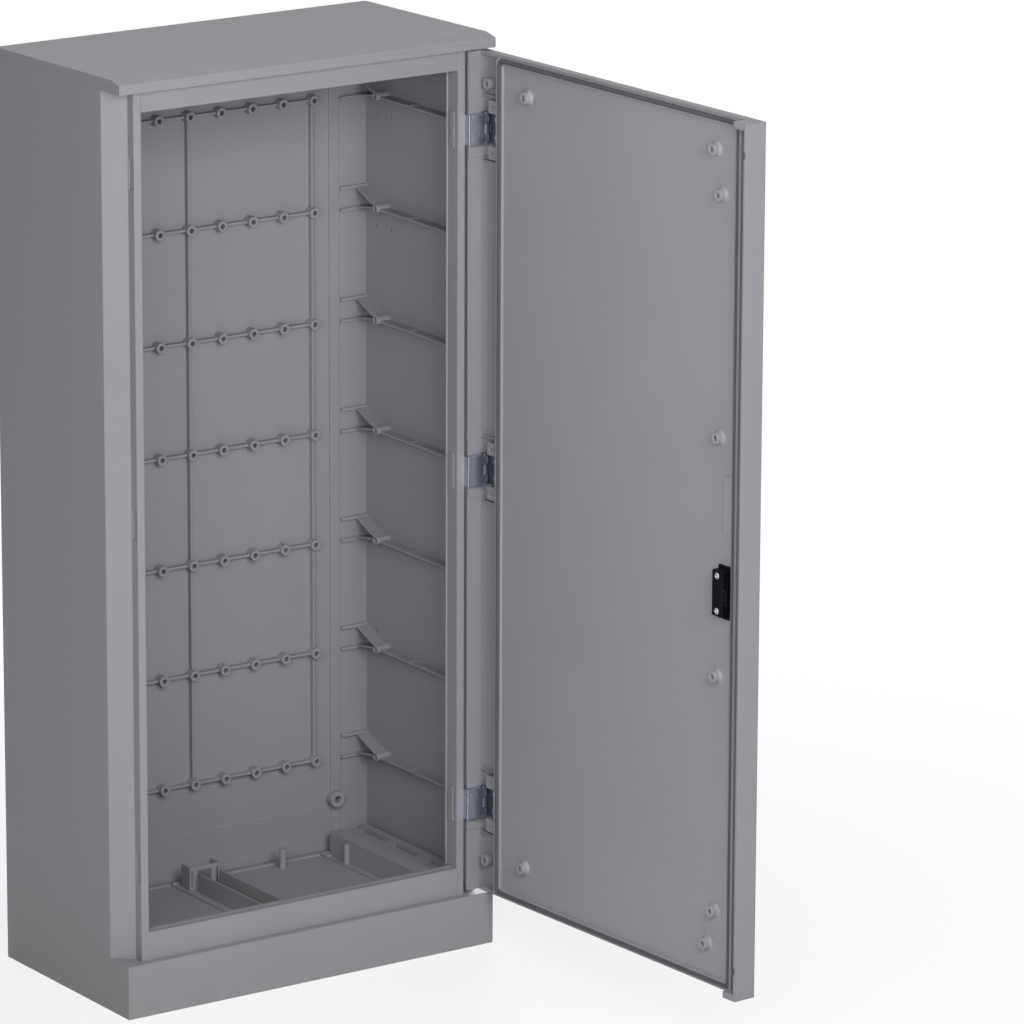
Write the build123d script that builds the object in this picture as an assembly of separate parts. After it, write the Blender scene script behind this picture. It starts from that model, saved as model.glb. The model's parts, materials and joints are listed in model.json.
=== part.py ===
from build123d import *
import os

# Lengths in millimetres. X runs to the right, Y to the rear, Z up from the ground.
# The door is drawn closed, then swung about its hinge line to the pose of the photo.

# Whole cabinet
cabinet_width = 590
cabinet_depth = 320
body_height = 1264
wall_thickness = 5
half_share = 0.5
quarter_turn = 90

# Plinth and anchor ring
plinth_height = 74
ledge_depth = 50
ledge_thickness = 4
ring_thickness = 6
ring_width = 52
anchor_side_inset = 50
anchor_end_inset = 35
anchor_hole_radius = 7

# Roof
roof_lip_height = 13
roof_chamfer_depth = 22
roof_chamfer_rise = 5
roof_rear_fall = 6
roof_thickness = 5
roof_edge_radius = 2
roof_boss_radius = 8
soffit_depth = 48

# Side walls: front return towards the posts, rear return behind the corner
side_setback = 47
left_return_setback = 24
right_return_setback = 33
return_thickness = 4
corner_width = 43
corner_thickness = 4
lug_size = 24
lug_thickness = 8
lug_front_inset = 95
lug_rear_inset = 45

# Front posts and bars round the opening
post_setback = 10
post_width = 11.5
post_depth = 27
post_left_inset = 27
post_right_inset = 42.5
post_lip_width = 2.5
post_lip_height = 1.5
top_bar_height = 28
top_bar_recess = 1
bottom_bar_height = 40
bar_depth = 20
sill_depth = 7
sill_drop = 6
sill_groove_inset = 9
sill_groove_width = 3
sill_groove_depth = 5

# Equipment grid: rows and columns of bosses on the rear wall
row_count = 7
row_end_gap = 87
column_count = 9
column_pitch = 50
boss_radius = 7.5
boss_hole_radius = 3.5
boss_length = 15
boss_hole_depth = 17
rib_thickness = 4.5
grid_rib_thickness = 3.5
row_rib_height = 9
column_rib_height = 8
pilaster_width = 16
pilaster_height = 3
foot_boss_radius = 11.5
foot_boss_hole_radius = 5
foot_boss_inset = 60
foot_boss_height = 139
lower_step_height = 128
lower_step_depth = 0.6

# Brackets on the side walls, one per row
shelf_width = 16
shelf_thickness = 3
shelf_rise = 6
shelf_front_inset = 52
tube_rear_gap = 59
tube_radius = 6
tube_hole_radius = 3.8
tube_length = 21
tube_hole_depth = 15
gusset_width = 19
gusset_thickness = 2.5
upper_rib_rise = 28
lower_rib_drop = 3
shelf_stop_gap = 79
shelf_stop_height = 1.2
dimple_radius = 2.5
dimple_depth = 3.5
dimple_drop = 24
dimple_front_gap = 9
dimple_rear_gap = 29

# Floor
floor_level = 62
floor_thickness = 4
floor_front_inset = 51
floor_rear_gap = 15
floor_gap = 2.5
floor_right_width = 83.5
bearer_height = 26
bearer_width = 20
bearer_front_inset = 54
bearer_rear_gap = 3
channel_offset = 15
channel_outer_width = 36.5
channel_wall = 3
channel_base = 2
channel_top = 89
channel_rear_gap = 53
bracket_top = 95
bracket_overhang = 6.5
bracket_rear_gap = 17
bracket_depth = 22
bracket_post_radius = 5.2
floor_post_offset = 77.5
floor_post_rear_gap = 25
floor_post_radius = 5.2
floor_post_top = 91
rail_width = 70
rail_top = 95
rail_wall = 3
rail_strip_rise = 2
rail_rear_gap = 8
rail_ridge_width = 26
rail_trough_drop = 3
rail_strip_width = 10
rail_strip_gap = 9
rail_strip_drop = 13
rail_slot_width = 6
rail_slot_length = 60
rail_slot_depth = 9
rail_slot_count = 3
rail_post_overlap = 1
rail_post_radius = 4.5
rail_post_rear_gap = 49
rail_post_top = 90
floor_ridge_width = 6
floor_ridge_height = 2.5
floor_disc_offset = 6.5
floor_disc_rear_gap = 13
floor_disc_radius = 5
floor_disc_height = 2

# Door shell
door_gap = 4
door_proud = 11
door_skin = 5
door_depth = 35
flange_thickness = 4
edge_thickness = 5
edge_depth = 15
foot_length = 25
foot_height = 9
door_edge_radius = 3
door_rest_angle = 93
notch_depth = 1.5
notch_length = 9
notch_inset = 42

# Gasket channel and door liner
gasket_width = 4.4
gasket_side_gap = 0.3
gasket_gap = 0.3
seat_depth = 12
channel_lip = 4
channel_lip_depth = 19.5
channel_lip_gap = 1
liner_depth = 18
liner_dish = 3
liner_wall = 3
liner_corner_radius = 7
door_boss_radius = 8
door_boss_flare = 4
door_boss_flare_height = 4
door_boss_flare_sink = 0.5
door_boss_hole_radius = 3.6
door_boss_height = 10
door_boss_hole_depth = 8
door_boss_hinge_inset = 57
door_boss_lock_inset = 45
door_boss_top_inset = 38
door_boss_bottom_inset = 47
lock_boss_inset = 31
lock_boss_count = 4
lock_boss_end_gap = 106
pad_width = 17
pad_height = 18
pad_depth = 15
pad_hole_radius = 2.2
pad_gap = 1.5
pad_inset = 21
cap_gap = 5
cap_thickness = 2
cap_depth = 12
flange_step = 0.8
side_boss_inset = 15
side_boss_drop = 44
side_boss_depth = 17
side_boss_radius = 8
label_width = 19
label_height = 78
label_thickness = 0.8
label_inset = 5
label_rise = 73

# Hinges: three alike, just above the first, middle and last boss rows
knuckle_count = 3
hinge_rise = 5
hinge_height = 42
pivot_inset = 14
pivot_depth = 14
knuckle_radius = 5.5
knuckle_gap = 0.6
pin_radius = 2.5
pin_clearance = 0.05
pin_head_radius = 4
pin_head_height = 2
leaf_thickness = 3
leaf_rear_gap = 2
leaf_swing_gap = 0.8
leaf_sink = 0.4
door_leaf_thickness = 2.5
door_leaf_width = 30
door_leaf_beyond = 6
backing_thickness = 1.5
backing_height = 50
backing_setback = 8
backing_width = 11

# Screws
screw_radius = 2.5
screw_clearance = 0.15
screw_head_radius = 4.5
screw_head_height = 2
screw_length = 9
screw_slot_width = 1
flat_head_height = 0.7
leaf_screw_rise = 12
leaf_screw_inset = 12
door_leaf_screw_inset = 8
rear_screw_count = 5
rear_screw_low = 130
rear_screw_top_gap = 104
rear_screw_inset = 26

# Lock and handle
lock_inset = 52.5
lock_drop = 41
case_free_side = 9.5
case_hinge_side = 12.5
case_height = 62
case_base_height = 72
case_base_thickness = 3
case_drop = 3
case_depth = 14
case_wall = 1.6
case_edge_radius = 1
case_screw_rise = 24
case_screw_offset = 2.5
cam_room_above = 8.5
cam_room_below = 22.5
cam_room_side = 8.2
cam_front_gap = 8
cam_thickness = 3
cam_length = 21
cam_width = 12
cam_hub_radius = 7.5
cam_screw_radius = 2
cam_screw_head_radius = 7
cam_screw_head_height = 1
cam_screw_length = 8
strike_depth = 10
strike_above = 8
strike_below = 22
strike_gap = 0.5
spindle_radius = 5
spindle_clearance = 0.05
spindle_hole_radius = 8
plate_width = 36
plate_thickness = 4
plate_above = 80
plate_below = 30
plate_edge_radius = 8
bush_radius = 11
bush_length = 5
hub_gap = 0.3
hub_radius = 10
hub_length = 13
lever_length = 112
lever_width = 16
lever_thickness = 8
lever_edge_radius = 3
cylinder_rise = 48
cylinder_radius = 8
cylinder_front = 6
cylinder_length = 16
cylinder_clearance = 0.1
key_slot_width = 1.5
key_slot_height = 7
key_slot_depth = 3
plate_screw_above = 70
plate_screw_below = 20

# Places worked out from the sizes above
left_x = -cabinet_width * half_share
right_x = cabinet_width * half_share
front_y = -cabinet_depth * half_share
rear_y = cabinet_depth * half_share
inner_left = left_x + wall_thickness
inner_right = right_x - wall_thickness
inner_rear = rear_y - wall_thickness
corner_front = inner_rear - corner_thickness
post_front = front_y + post_setback
post_rear = post_front + post_depth
left_post_outer = left_x + post_left_inset
left_post_inner = left_post_outer + post_width
right_post_outer = right_x - post_right_inset
right_post_inner = right_post_outer - post_width
opening_bottom = plinth_height + bottom_bar_height
opening_top = body_height - top_bar_height
first_row = opening_bottom + row_end_gap
row_pitch = (opening_top - row_end_gap - first_row) / (row_count - 1)
row_levels = [first_row + row * row_pitch for row in range(row_count)]
hinge_rows = (row_levels[0], row_levels[row_count // 2], row_levels[-1])
hinge_levels = [level + hinge_rise for level in hinge_rows]
door_face = front_y - door_proud
door_bottom = plinth_height + door_gap
door_top = body_height - door_gap
door_level = (door_bottom + door_top) * half_share
skin_inner = door_face + door_skin
pivot_x = right_x - pivot_inset
pivot_y = door_face + pivot_depth
channel_width = gasket_width + gasket_side_gap + gasket_side_gap
seat_left = left_post_outer + channel_lip_gap + channel_lip
seat_right = right_post_outer - channel_lip_gap - channel_lip
seat_bottom = door_bottom + edge_thickness
seat_top = door_top - edge_thickness
liner_left = seat_left + channel_width
liner_right = seat_right - channel_width
liner_bottom = seat_bottom + channel_width
liner_top = seat_top - channel_width
liner_face = door_face + liner_depth - liner_dish
lock_x = left_x + lock_inset
lock_level = door_level - lock_drop
label_level = door_level + label_rise
screw_hole_radius = screw_radius + screw_clearance

low_corner = (Align.MIN, Align.MIN, Align.MIN)
low_end = (Align.CENTER, Align.CENTER, Align.MIN)


def block(x0, x1, y0, y1, z0, z1):
    return Pos(x0, y0, z0) * Box(x1 - x0, y1 - y0, z1 - z0, align=low_corner)


def rod_x(x0, x1, y, z, radius):
    return Pos(x0, y, z) * Rot(0, quarter_turn, 0) * Cylinder(radius, x1 - x0, align=low_end)


def rod_y(x, y0, y1, z, radius):
    return Pos(x, y0, z) * Rot(-quarter_turn, 0, 0) * Cylinder(radius, y1 - y0, align=low_end)


def rod_z(x, y, z0, z1, radius):
    return Pos(x, y, z0) * Cylinder(radius, z1 - z0, align=low_end)


def plan_prism(points, z0, z1):
    return Pos(0, 0, z0) * extrude(Polygon(*points, align=None), z1 - z0, dir=(0, 0, 1))


def side_prism(points, x0, x1):
    return Pos(x0, 0, 0) * extrude(Plane.YZ * Polygon(*points, align=None), x1 - x0, dir=(1, 0, 0))


def swing(shape):
    turn = Pos(pivot_x, pivot_y, 0) * Rot(0, 0, door_rest_angle) * Pos(-pivot_x, -pivot_y, 0)
    return turn * shape


def screw_along_y(x, y, z, toward, length, head_height):
    # Pan head standing on the face at y, shank running the way of toward, plus or minus one
    outer = y - toward * head_height
    head = rod_y(x, min(y, outer), max(y, outer), z, screw_head_radius)
    shank = rod_y(x, min(y, y + toward * length), max(y, y + toward * length), z, screw_radius)
    inner = outer + toward * head_height * half_share
    slot = block(x - screw_head_radius, x + screw_head_radius, min(outer, inner), max(outer, inner),
                 z - screw_slot_width * half_share, z + screw_slot_width * half_share)
    return head + shank - slot


# Roof: sloped cap with a thick front lip, hollow behind the lip
lip_top = body_height + roof_lip_height
roof_front_top = lip_top + roof_chamfer_rise
roof_rear_top = roof_front_top - roof_rear_fall
roof_outline = [
    (front_y, body_height),
    (front_y, lip_top),
    (front_y + roof_chamfer_depth, roof_front_top),
    (rear_y, roof_rear_top),
    (rear_y, body_height),
]
roof = side_prism(roof_outline, left_x, right_x)
cross_edges = roof.edges().filter_by(Axis.X)
rounded_edges = [edge for edge in cross_edges if body_height < edge.center().Z < roof_front_top]
roof = fillet(rounded_edges, roof_edge_radius)
hollow_top = roof_rear_top - roof_thickness
roof -= block(inner_left, inner_right, front_y + soffit_depth, inner_rear, body_height, hollow_top)
lug_centres = []
for lug_x in (inner_left + lug_size * half_share, inner_right - lug_size * half_share):
    lug_centres.append((lug_x, front_y + lug_front_inset))
    lug_centres.append((lug_x, inner_rear - lug_rear_inset))
for x, y in lug_centres:
    roof += rod_z(x, y, body_height, hollow_top + roof_edge_radius, roof_boss_radius)
    roof -= rod_z(x, y, body_height, hollow_top, screw_hole_radius)

# Screws up through the lugs into the roof
roof_screws = []
for x, y in lug_centres:
    head_top = body_height - lug_thickness
    head = rod_z(x, y, head_top - screw_head_height, head_top, screw_head_radius)
    shank = rod_z(x, y, head_top, body_height + roof_lip_height * half_share, screw_radius)
    roof_screws.append(head + shank)

# Left side wall; the right one is its mirror image up to the front return
wall = side_prism([(front_y, 0), (rear_y, 0), (rear_y, body_height), (front_y + side_setback, body_height),
                   (front_y + side_setback, plinth_height), (front_y, plinth_height)], left_x, inner_left)
wall += block(inner_left - wall_thickness * half_share, inner_left + corner_width, corner_front, inner_rear,
              0, body_height)
wall_sink = inner_left - wall_thickness * half_share
bracket_parts = []
bracket_holes = []
tube_y = inner_rear - tube_rear_gap
half_rib = rib_thickness * half_share
for level in row_levels:
    shelf_top = level + shelf_rise
    tube_mouth = inner_left + tube_length
    bracket_parts.append(block(wall_sink, inner_left + shelf_width, front_y + shelf_front_inset, tube_y,
                               shelf_top - shelf_thickness, shelf_top))
    bracket_parts.append(rod_x(wall_sink, tube_mouth, tube_y, shelf_top, tube_radius))
    bracket_holes.append(rod_x(tube_mouth - tube_hole_depth, tube_mouth, tube_y, shelf_top,
                               tube_hole_radius))
    stop_y = tube_y - shelf_stop_gap
    bracket_parts.append(block(wall_sink, inner_left + shelf_width, stop_y - half_rib, stop_y + half_rib,
                               shelf_top - half_rib, shelf_top + shelf_stop_height))
    for rib_level in (level + upper_rib_rise, level - lower_rib_drop):
        bracket_parts.append(block(wall_sink, inner_left + corner_width, corner_front - rib_thickness,
                                   corner_front + corner_thickness * half_share,
                                   rib_level - half_rib, rib_level + half_rib))
        gusset = side_prism([(tube_y, shelf_top), (corner_front + half_rib, rib_level),
                             (corner_front + half_rib, rib_level + gusset_thickness),
                             (tube_y, shelf_top + gusset_thickness)],
                            wall_sink, inner_left + gusset_width)
        bracket_parts.append(gusset)
for level, turn in ((row_levels[0], 1), (row_levels[1], 1), (row_levels[-2], -1), (row_levels[-1], -1)):
    for y in (tube_y - dimple_front_gap, tube_y + dimple_rear_gap):
        bracket_holes.append(rod_x(inner_left - dimple_depth, inner_left, y, level + turn * dimple_drop,
                                   dimple_radius))
for x, y in lug_centres:
    if x < 0:
        bracket_parts.append(block(wall_sink, inner_left + lug_size, y - lug_size * half_share,
                                   y + lug_size * half_share, body_height - lug_thickness, body_height))
        bracket_holes.append(rod_z(x, y, body_height - lug_thickness, body_height, screw_hole_radius))
wall += bracket_parts
wall -= bracket_holes


def front_return(outer, inner, post_side, setback):
    wall_y = front_y + side_setback
    join_y = front_y + setback
    return plan_prism([(outer, wall_y), (post_side, join_y), (post_side, join_y + return_thickness),
                       (inner, wall_y + return_thickness), (outer, wall_y + return_thickness)],
                      plinth_height, body_height)


rear_screw_holes = []
rear_screw_sinks = []
rear_screws = []
rear_screw_depth = wall_thickness + corner_thickness * half_share
rear_screw_length = rear_screw_depth - screw_head_height
rear_screw_pitch = (body_height - rear_screw_top_gap - rear_screw_low) / (rear_screw_count - 1)
for side in (-1, 1):
    screw_x = side * (inner_right - rear_screw_inset)
    for index in range(rear_screw_count):
        rise = rear_screw_low + index * rear_screw_pitch
        seat = rear_y - screw_head_height
        rear_screws.append(screw_along_y(screw_x, seat, rise, -1, rear_screw_length, screw_head_height))
        rear_screw_holes.append(rod_y(screw_x, rear_y - rear_screw_depth, rear_y, rise, screw_hole_radius))
        rear_screw_sinks.append(rod_y(screw_x, seat, rear_y, rise, screw_head_radius + screw_clearance))
right_wall = mirror(wall, about=Plane.YZ)
side_wall_left = wall + front_return(left_x, inner_left, left_post_outer, left_return_setback)
side_wall_right = right_wall + front_return(right_x, inner_right, right_post_outer, right_return_setback)
side_wall_left -= rear_screw_holes
side_wall_right -= rear_screw_holes

# Rear wall with its grid of bosses, ribs, corner pilasters and foot bosses
rear_wall = block(inner_left, inner_right, inner_rear, rear_y, 0, body_height)
rear_sink = inner_rear + wall_thickness * half_share
column_xs = [(column - (column_count - 1) * half_share) * column_pitch for column in range(column_count)]
half_grid_rib = grid_rib_thickness * half_share
grid_parts = []
grid_holes = []
for level in row_levels:
    grid_parts.append(block(column_xs[0], column_xs[-1], inner_rear - row_rib_height, rear_sink,
                            level - half_grid_rib, level + half_grid_rib))
    for x in column_xs:
        tip = inner_rear - boss_length
        grid_parts.append(rod_y(x, tip, rear_sink, level, boss_radius))
        grid_holes.append(rod_y(x, tip, tip + boss_hole_depth, level, boss_hole_radius))
for x in (column_xs[0], column_xs[column_count // 2], column_xs[-1]):
    grid_parts.append(block(x - half_grid_rib, x + half_grid_rib, inner_rear - column_rib_height, rear_sink,
                            row_levels[0], row_levels[-1]))
pilaster_outer = inner_right - corner_width
pilaster_inner = pilaster_outer - pilaster_width
for x0, x1 in ((-pilaster_outer, -pilaster_inner), (pilaster_inner, pilaster_outer)):
    grid_parts.append(block(x0, x1, inner_rear - pilaster_height, rear_sink, floor_level, body_height))
grid_parts.append(block(-pilaster_inner, pilaster_inner, inner_rear - lower_step_depth, rear_sink,
                        floor_level, lower_step_height))
for x in (left_x + foot_boss_inset, right_x - foot_boss_inset):
    tip = inner_rear - boss_length
    grid_parts.append(rod_y(x, tip, rear_sink, foot_boss_height, foot_boss_radius))
    grid_holes.append(rod_y(x, tip, tip + boss_hole_depth, foot_boss_height, foot_boss_hole_radius))
rear_wall += grid_parts
rear_wall -= grid_holes
rear_wall -= rear_screw_holes
rear_wall -= rear_screw_sinks

# Plinth front with the ledge the posts stand on, and the anchor ring behind it
plinth_front = block(inner_left, inner_right, front_y, front_y + wall_thickness, 0, plinth_height)
plinth_front += block(inner_left, inner_right, front_y, front_y + ledge_depth,
                      plinth_height - ledge_thickness, plinth_height)
anchor_ring = block(inner_left, inner_right, front_y + wall_thickness, corner_front, 0, ring_thickness)
anchor_ring -= block(inner_left + ring_width, inner_right - ring_width,
                     front_y + wall_thickness + ring_width, corner_front - ring_width, 0, ring_thickness)
for x in (left_x + anchor_side_inset, right_x - anchor_side_inset):
    for y in (front_y + anchor_end_inset, rear_y - anchor_end_inset):
        anchor_ring -= rod_z(x, y, 0, ring_thickness, anchor_hole_radius)

# Posts: the left one has the strike slot, the right one carries the hinges
strike_front = liner_face + cam_front_gap - strike_gap
strike_rear = liner_face + cam_front_gap + cam_thickness + strike_gap
post_left = block(left_post_outer, left_post_inner, post_front, post_rear, plinth_height, body_height)
post_left -= block(left_post_inner - strike_depth, left_post_inner, strike_front, strike_rear,
                   lock_level - strike_below, lock_level + strike_above)
post_right = block(right_post_inner, right_post_outer, post_front, post_rear, plinth_height, body_height)
post_left += block(left_post_inner, left_post_inner + post_lip_height, post_rear - post_lip_width, post_rear,
                   opening_bottom, opening_top)
post_right += block(right_post_inner - post_lip_height, right_post_inner, post_rear - post_lip_width,
                    post_rear, opening_bottom, opening_top)
leaf_screw_y = post_front + leaf_screw_inset
leaf_outer = right_post_outer + leaf_thickness
half_hinge = hinge_height * half_share
leaf_screws = []
leaf_holes = []
for level in hinge_levels:
    post_left -= block(left_post_outer, left_post_outer + notch_depth, post_front + notch_depth,
                       front_y + left_return_setback - notch_depth, level - half_hinge, level + half_hinge)
    for rise in (-leaf_screw_rise, leaf_screw_rise):
        z = level + rise
        head = rod_x(leaf_outer, leaf_outer + screw_head_height, leaf_screw_y, z, screw_head_radius)
        shank = rod_x(leaf_outer - screw_length, leaf_outer, leaf_screw_y, z, screw_radius)
        slot = block(leaf_outer + screw_head_height * half_share, leaf_outer + screw_head_height,
                     leaf_screw_y - screw_head_radius, leaf_screw_y + screw_head_radius,
                     z - screw_slot_width * half_share, z + screw_slot_width * half_share)
        leaf_screws.append(head + shank - slot)
        leaf_holes.append(rod_x(leaf_outer - screw_length, leaf_outer, leaf_screw_y, z, screw_hole_radius))
post_right -= leaf_holes

# Bars across the top and bottom of the opening
top_bar = block(left_post_inner, right_post_inner, post_front + top_bar_recess, post_front + bar_depth,
                opening_top, body_height)
bottom_bar = block(left_post_inner, right_post_inner, post_front, post_front + bar_depth,
                   plinth_height, opening_bottom)
bottom_bar += block(left_post_inner, right_post_inner, post_front, post_front + bar_depth + sill_depth,
                    plinth_height, opening_bottom - sill_drop)
groove_front = post_front + sill_groove_inset
bottom_bar -= block(left_post_inner, right_post_inner, groove_front, groove_front + sill_groove_width,
                    opening_bottom - sill_groove_depth, opening_bottom)

# Floor: bearers, three plates, the cable channel with its end bracket, a post and the two side rails
floor_under = floor_level - floor_thickness
floor_front = front_y + floor_front_inset
floor_rear = rear_y - floor_rear_gap
floor_bearers = []
for y in (front_y + bearer_front_inset, floor_rear - bearer_rear_gap - bearer_width):
    floor_bearers.append(block(inner_left, inner_right, y, y + bearer_width, floor_under - bearer_height,
                               floor_under))
half_gap = floor_gap * half_share


def floor_plate(x0, x1):
    plate = block(x0 + half_gap, x1 - half_gap, floor_front, floor_rear, floor_under, floor_level)
    return plate + block(x0 + half_gap, x1 - half_gap, floor_rear - floor_ridge_width, floor_rear,
                         floor_level, floor_level + floor_ridge_height)


split_right = inner_right - floor_right_width
split_left = (inner_left + split_right) * half_share
floor_left = floor_plate(inner_left, split_left)
floor_middle = floor_plate(split_left, split_right)
floor_right = floor_plate(split_right, inner_right)
floor_right += rod_z(split_right + floor_disc_offset, floor_rear - floor_disc_rear_gap, floor_under,
                     floor_level + floor_disc_height, floor_disc_radius)
channel_rear = floor_rear - channel_rear_gap
channel_left = split_left + channel_offset
channel_right = channel_left + channel_outer_width
cable_channel = block(channel_left, channel_right, floor_front, channel_rear, floor_level, channel_top)
cable_channel -= block(channel_left + channel_wall, channel_right - channel_wall, floor_front, channel_rear,
                       floor_level + channel_base, channel_top)
bracket_left = channel_left - bracket_overhang
bracket_right = channel_right + bracket_overhang
bracket_rear = floor_rear - bracket_rear_gap
bracket_front = bracket_rear - bracket_depth
end_bracket = block(bracket_left, bracket_right, bracket_front, bracket_rear, floor_level, bracket_top)
bracket_room = (bracket_left + channel_wall, bracket_right - channel_wall)
end_bracket -= block(*bracket_room, bracket_front + channel_wall, bracket_rear,
                     floor_level + channel_base, bracket_top)
end_bracket -= block(*bracket_room, bracket_front, bracket_front + channel_wall,
                     floor_level + channel_base, channel_top)
for x in (channel_left + channel_wall, channel_right - channel_wall):
    end_bracket += rod_z(x, bracket_front + channel_wall, floor_level, channel_top + half_rib,
                         bracket_post_radius)
floor_post = rod_z(split_right - floor_post_offset, floor_rear - floor_post_rear_gap, floor_level,
                   floor_post_top, floor_post_radius)
rail_outer = inner_right - half_gap
rail_inner = rail_outer - rail_width
rail_rear = floor_rear - rail_rear_gap
side_rail = block(rail_inner, rail_outer, floor_front, rail_rear, floor_level, rail_top)
side_rail -= block(rail_inner + rail_wall, rail_outer - rail_wall, floor_front, rail_rear,
                   floor_level, rail_top - rail_strip_drop - rail_wall)
strip_outer = rail_outer - rail_strip_gap
strip_inner = strip_outer - rail_strip_width
side_rail -= block(rail_inner + rail_ridge_width, strip_inner, floor_front, rail_rear,
                   rail_top - rail_trough_drop, rail_top)
side_rail -= block(strip_outer, rail_outer, floor_front, rail_rear, rail_top - rail_strip_drop, rail_top)
side_rail += block(strip_inner, strip_outer, floor_front, rail_rear, rail_top - rail_trough_drop,
                   rail_top + rail_strip_rise)
rail_post_x = rail_inner + rail_post_overlap - rail_post_radius
side_rail += rod_z(rail_post_x, rail_rear - rail_post_rear_gap, floor_level, rail_post_top, rail_post_radius)
slot_x = strip_inner - rail_slot_width * half_share
slot_pitch = (rail_rear - floor_front) / rail_slot_count
for index in range(rail_slot_count):
    slot_y = floor_front + (index + half_share) * slot_pitch
    side_rail -= block(slot_x - rail_slot_width * half_share, slot_x + rail_slot_width * half_share,
                       slot_y - rail_slot_length * half_share, slot_y + rail_slot_length * half_share,
                       rail_top - rail_trough_drop - rail_slot_depth, rail_top)

# Door shell: skin, flanges, corner feet, gasket seat and channel lips, hinge pads and bosses
shell = block(left_x, right_x, door_face, door_face + door_depth, door_bottom, door_top)
outer_edges = [edge for edge in shell.edges() if edge.center().Y < door_face + door_skin * half_share]
shell = fillet(outer_edges, door_edge_radius)
shell -= block(left_x + flange_thickness, right_x - flange_thickness, skin_inner, door_face + door_depth,
               door_bottom + edge_thickness, door_top - edge_thickness)
shell -= block(left_x + foot_length, right_x - flange_thickness, door_face + edge_depth,
               door_face + door_depth, door_bottom, door_top)
skin_sink = skin_inner - door_skin * half_share
seat = block(seat_left, seat_right, skin_sink, door_face + seat_depth, seat_bottom, seat_top)
seat -= block(liner_left, liner_right, skin_sink, door_face + seat_depth, liner_bottom, liner_top)
shell_parts = [seat]
shell_holes = []
for x0, x1 in ((seat_left - channel_lip, seat_left), (seat_right, seat_right + channel_lip)):
    shell_parts.append(block(x0, x1, skin_sink, door_face + channel_lip_depth, seat_bottom, seat_top))
pad_x = right_x - pad_inset - pad_width * half_share
flange_inner = right_x - flange_thickness
flange_middle = right_x - flange_thickness * half_share
half_step = half_hinge + pad_gap + pad_height
half_cap = cap_thickness * half_share
for level in hinge_levels:
    shell_parts.append(block(flange_inner - flange_step, flange_middle, skin_sink, door_face + door_depth,
                             level - half_step, level + half_step))
    for turn in (-1, 1):
        pad_z = level + turn * (half_hinge + pad_gap + pad_height * half_share)
        shell_parts.append(block(pad_x - pad_width * half_share, pad_x + pad_width * half_share, skin_sink,
                                 door_face + pad_depth, pad_z - pad_height * half_share,
                                 pad_z + pad_height * half_share))
        shell_holes.append(rod_y(pad_x, skin_inner, door_face + pad_depth, pad_z, pad_hole_radius))
        cap_z = level + turn * (half_hinge + pad_gap + pad_height + cap_gap)
        shell_parts.append(block(seat_right, flange_middle, skin_sink, door_face + cap_depth,
                                 cap_z - half_cap, cap_z + half_cap))
for boss_z in (door_bottom + side_boss_drop, door_top - side_boss_drop):
    boss_x = right_x - flange_thickness - side_boss_inset
    boss_tip = door_face + side_boss_depth
    shell_parts.append(rod_y(boss_x, skin_sink, boss_tip, boss_z, side_boss_radius))
    shell_holes.append(rod_y(boss_x, skin_inner, boss_tip, boss_z, door_boss_hole_radius))
for z in (door_bottom, door_top - foot_height):
    shell_parts.append(block(left_x + flange_thickness * half_share, left_x + foot_length,
                             door_face + edge_depth, door_face + door_depth, z, z + foot_height))
for notch_z in (door_bottom + notch_inset, door_top - notch_inset):
    shell_holes.append(block(left_x, left_x + flange_thickness, door_face + door_depth - notch_depth,
                             door_face + door_depth, notch_z - notch_length * half_share,
                             notch_z + notch_length * half_share))
shell_holes.append(rod_y(lock_x, door_face, skin_inner, lock_level, spindle_hole_radius))
cylinder_level = lock_level + cylinder_rise
cylinder_hole_radius = cylinder_radius + cylinder_clearance
shell_holes.append(rod_y(lock_x, door_face, skin_inner, cylinder_level, cylinder_hole_radius))

# Liner: raised rim round a shallow dish, on a wall that stands on the skin
liner = block(liner_left, liner_right, skin_inner, door_face + liner_depth, liner_bottom, liner_top)
rim_edges = liner.edges().filter_by(Axis.Y)
liner = fillet(rim_edges, liner_corner_radius)
liner -= block(liner_left + liner_wall, liner_right - liner_wall, skin_inner, liner_face - liner_wall,
               liner_bottom + liner_wall, liner_top - liner_wall)
liner -= block(liner_left + liner_wall, liner_right - liner_wall, liner_face, door_face + liner_depth,
               liner_bottom + liner_wall, liner_top - liner_wall)
boss_places = []
for z in (liner_bottom + door_boss_bottom_inset, liner_top - door_boss_top_inset):
    boss_places.append((liner_right - door_boss_hinge_inset, z))
    boss_places.append((liner_left + door_boss_lock_inset, z))
lock_boss_pitch = (door_top - door_bottom - lock_boss_end_gap - lock_boss_end_gap) / (lock_boss_count - 1)
for index in range(lock_boss_count):
    z = door_bottom + lock_boss_end_gap + index * lock_boss_pitch
    boss_places.append((liner_left + lock_boss_inset, z))
liner_sink = liner_face - liner_wall * half_share
liner_parts = []
liner_holes = []
for x, z in boss_places:
    tip = liner_face + door_boss_height
    liner_parts.append(rod_y(x, liner_sink, tip, z, door_boss_radius))
    flare = Cone(door_boss_radius + door_boss_flare, door_boss_radius - door_boss_flare_sink,
                 liner_face + door_boss_flare_height - liner_sink, align=low_end)
    liner_parts.append(Pos(x, liner_sink, z) * Rot(-quarter_turn, 0, 0) * flare)
    liner_holes.append(rod_y(x, tip - door_boss_hole_depth, tip, z, door_boss_hole_radius))
liner_holes.append(rod_y(lock_x, skin_inner, liner_face, lock_level, spindle_hole_radius))

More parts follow.
